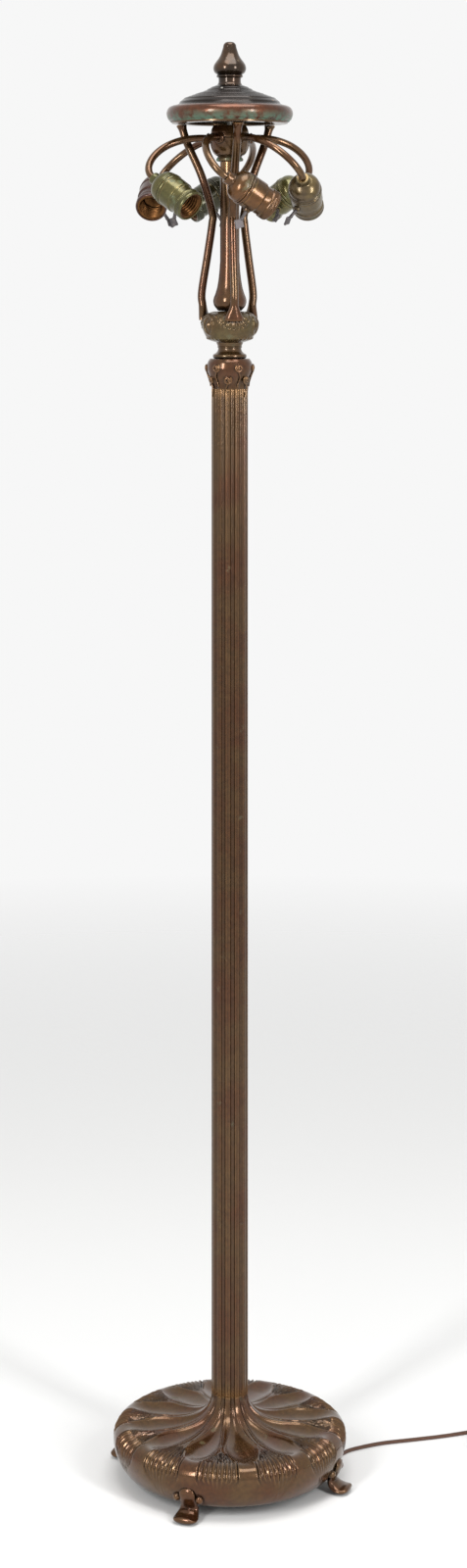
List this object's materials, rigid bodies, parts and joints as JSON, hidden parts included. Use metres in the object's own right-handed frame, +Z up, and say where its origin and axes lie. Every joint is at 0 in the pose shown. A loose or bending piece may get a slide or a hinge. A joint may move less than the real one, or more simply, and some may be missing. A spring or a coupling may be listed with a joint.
{
  "type": "floor lamp base",
  "caption": "Free-standing floor lamp base with a petalled foot, fluted column, harp frame, swirled socket arms with turn keys, a heat cap and a finial.",
  "frame": {"origin": "on the floor, on the column's axis", "axes": "+Z up along the column, +X through the middle of foot_1"},
  "size_m": [0.5, 0.4261, 1.7601],
  "materials": {
    "bronze": "warm brown patina",
    "brown_bronze": "red-brown patina",
    "green_bronze": "green-brown patina",
    "dark_bronze": "near-black patina",
    "cast_iron": "rough cast",
    "steel": "dull",
    "socket_brass": "aged",
    "thread_brass": "bright spun",
    "key_grey": "dark grey",
    "brown_cloth": "braided",
    "brown_plastic": "moulded"
  },
  "bodies": {
    "stand": {"base_shell": "bronze", "foot_1": "bronze", "foot_2": "bronze", "foot_3": "bronze", "foot_4": "bronze", "base_weight": "cast_iron", "lock_washer": "steel", "lock_nut": "steel", "centre_pipe": "steel", "column": "bronze", "capital": "bronze", "neck_collar": "bronze", "pod": "green_bronze", "harp_rod_1": "brown_bronze", "harp_rod_2": "brown_bronze", "harp_rod_3": "brown_bronze", "shade_ring": "dark_bronze", "inner_stem": "bronze", "hub_collar": "green_bronze", "hub_lower": "brown_bronze", "hub_upper": "brown_bronze", "finial_rod": "steel", "arm_1": "brown_bronze", "arm_2": "brown_bronze", "arm_3": "brown_bronze", "arm_4": "brown_bronze", "arm_5": "brown_bronze", "arm_6": "brown_bronze", "socket_cap_1": "socket_brass", "socket_cap_2": "socket_brass", "socket_cap_3": "socket_brass", "socket_cap_4": "socket_brass", "socket_cap_5": "socket_brass", "socket_cap_6": "socket_brass", "socket_shell_1": "socket_brass", "socket_shell_2": "socket_brass", "socket_shell_3": "socket_brass", "socket_shell_4": "socket_brass", "socket_shell_5": "socket_brass", "socket_shell_6": "socket_brass", "socket_liner_1": "thread_brass", "socket_liner_2": "thread_brass", "socket_liner_3": "thread_brass", "socket_liner_4": "thread_brass", "socket_liner_5": "thread_brass", "socket_liner_6": "thread_brass", "cord_bushing": "brown_plastic", "cord_run": "brown_cloth", "cord_coil": "brown_cloth", "plug": "brown_plastic"},
    "heat_cap": {"heat_cap": "dark_bronze"},
    "finial": {"finial": "brown_bronze"},
    "key_1": {"key_1": "key_grey"},
    "key_2": {"key_2": "key_grey"},
    "key_3": {"key_3": "key_grey"},
    "key_4": {"key_4": "key_grey"},
    "key_5": {"key_5": "key_grey"},
    "key_6": {"key_6": "key_grey"}
  },
  "joints": [
    {"name": "cap_lift", "type": "slide", "parent": "stand", "child": "heat_cap", "axis": [0, 0, 1], "range_m": [0, 0.05]},
    {"name": "finial_turn", "type": "hinge", "parent": "heat_cap", "child": "finial", "pos_m": [0, 0, 1.7069], "axis": [0, 0, 1], "continuous": true},
    {"name": "key_turn_1", "type": "hinge", "parent": "stand", "child": "key_1", "pos_m": [0.03357, 0.08946, 1.56885], "axis": [0.1488, -0.7648, -0.6269], "continuous": true},
    {"name": "key_turn_2", "type": "hinge", "parent": "stand", "child": "key_2", "pos_m": [-0.06069, 0.0738, 1.56885], "axis": [0.6218, 0.0137, -0.7831], "continuous": true},
    {"name": "key_turn_3", "type": "hinge", "parent": "stand", "child": "key_3", "pos_m": [-0.09426, -0.01566, 1.56885], "axis": [0.3154, 0.545, -0.7769], "continuous": true},
    {"name": "key_turn_4", "type": "hinge", "parent": "stand", "child": "key_4", "pos_m": [-0.03357, -0.08946, 1.56885], "axis": [-0.3227, 0.5317, -0.7831], "continuous": true},
    {"name": "key_turn_5", "type": "hinge", "parent": "stand", "child": "key_5", "pos_m": [0.06069, -0.0738, 1.56885], "axis": [-0.3821, -0.3453, -0.8572], "continuous": true},
    {"name": "key_turn_6", "type": "hinge", "parent": "stand", "child": "key_6", "pos_m": [0.09426, 0.01566, 1.56885], "axis": [-0.4111, -0.5396, -0.7347], "continuous": true}
  ]
}
